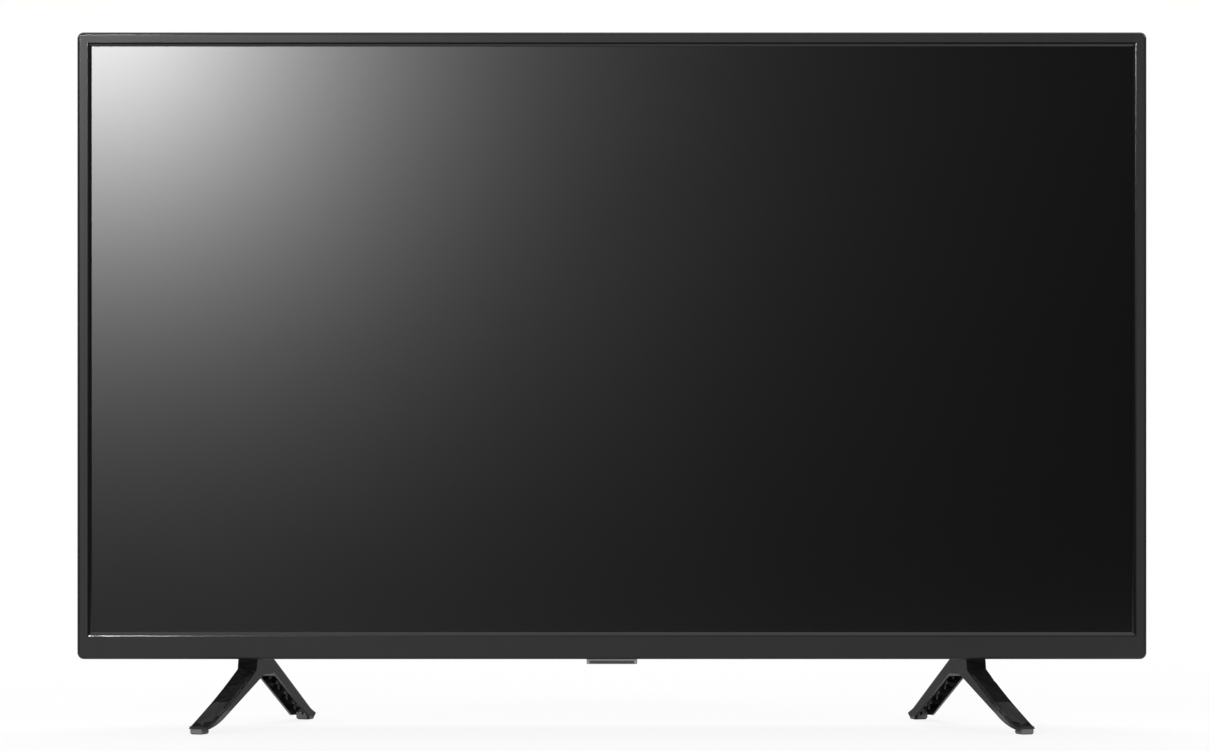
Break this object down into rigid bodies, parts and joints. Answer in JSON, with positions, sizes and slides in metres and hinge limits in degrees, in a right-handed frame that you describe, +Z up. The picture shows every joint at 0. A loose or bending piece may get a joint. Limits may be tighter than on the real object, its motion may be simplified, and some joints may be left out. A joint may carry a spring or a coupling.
{
  "type": "flat screen television",
  "caption": "Flat screen television with a slim moulded frame on splayed inverted-V stands; rear cover with side sockets, wall-mount nuts and a key under the lower rail.",
  "frame": {"origin": "on the table, under the middle of the whole set", "axes": "+X to the viewer's right along the screen, +Y back from the screen, +Z up"},
  "size_m": [0.968, 0.2138, 0.63],
  "materials": {
    "frame_black": "fine satin moulded black",
    "screen_glass": "semi-gloss polariser over dark glass",
    "leg_gloss": "glossy moulded black",
    "cover_black": "fine textured moulded black",
    "smoked_window": "smoked infrared window",
    "pod_grey": "satin dark grey",
    "pad_rubber": "matt grey rubber",
    "zinc_steel": "zinc coated sheet",
    "black_screw": "blackened steel",
    "plain_screw": "zinc plated",
    "nut_brass": "turned brass",
    "white_sheet": "matt white",
    "clear_lens": "clear moulded",
    "chip_yellow": "phosphor on white package",
    "bar_white": "white coated aluminium strip",
    "frame_grey": "plain moulded",
    "foam_black": "foam strip",
    "board_green": "solder resist",
    "chip_black": "moulded package",
    "socket_metal": "tinned shell",
    "socket_black": "moulded body",
    "sink_aluminium": "anodised",
    "ferrite": "ferrite and tape",
    "can_sleeve": "sleeved can",
    "ribbon_white": "flat ribbon",
    "film_amber": "amber film",
    "lead_black": "insulated lead",
    "cone_paper": "coated cone"
  },
  "bodies": {
    "cabinet": {"front_bezel": "frame_black", "bezel_gasket": "foam_black", "lcd_cell": "screen_glass", "mid_frame": "frame_grey", "diffuser_sheet": "white_sheet", "prism_sheet": "white_sheet", "diffuser_plate": "white_sheet", "reflector_sheet": "white_sheet", "diffuser_posts": "white_sheet", "led_chips": "chip_yellow", "led_lenses": "clear_lens", "led_bar_1": "bar_white", "led_bar_2": "bar_white", "led_bar_3": "bar_white", "back_chassis": "zinc_steel", "wall_mount_nuts": "nut_brass", "rear_cover": "cover_black", "cover_screws": "black_screw", "board_screws": "plain_screw", "main_board": "board_green", "main_chips": "chip_black", "main_heatsink": "sink_aluminium", "radio_module": "socket_metal", "hdmi_sockets": "socket_metal", "usb_sockets": "socket_metal", "lan_socket": "socket_black", "optical_socket": "socket_black", "antenna_socket": "socket_metal", "power_board": "board_green", "mains_inlet": "socket_black", "power_transformers": "ferrite", "power_capacitors": "can_sleeve", "power_heatsinks": "sink_aluminium", "control_board": "board_green", "control_parts": "chip_black", "source_boards": "board_green", "panel_films": "film_amber", "panel_ribbons": "ribbon_white", "signal_ribbon": "ribbon_white", "speaker_box_left": "socket_black", "speaker_box_right": "socket_black", "speaker_cones": "cone_paper", "receiver_housing": "pod_grey", "receiver_window": "smoked_window", "receiver_board": "board_green", "infrared_sensor": "chip_black", "power_switch": "socket_metal", "stand_left": "leg_gloss", "stand_right": "leg_gloss", "stand_brackets": "frame_grey", "stand_screws": "black_screw", "front_pads": "pad_rubber", "rear_pads": "pad_rubber", "power_lead": "lead_black", "backlight_lead": "lead_black", "speaker_leads": "lead_black", "receiver_lead": "lead_black", "lead_clips": "frame_grey"},
    "key": {"power_button": "pod_grey", "switch_plunger": "socket_black"}
  },
  "joints": [
    {"name": "key_press", "type": "slide", "parent": "cabinet", "child": "key", "axis": [0, 0, 1], "range_m": [0, 0.0006], "stiffness_N_per_m": 600}
  ]
}
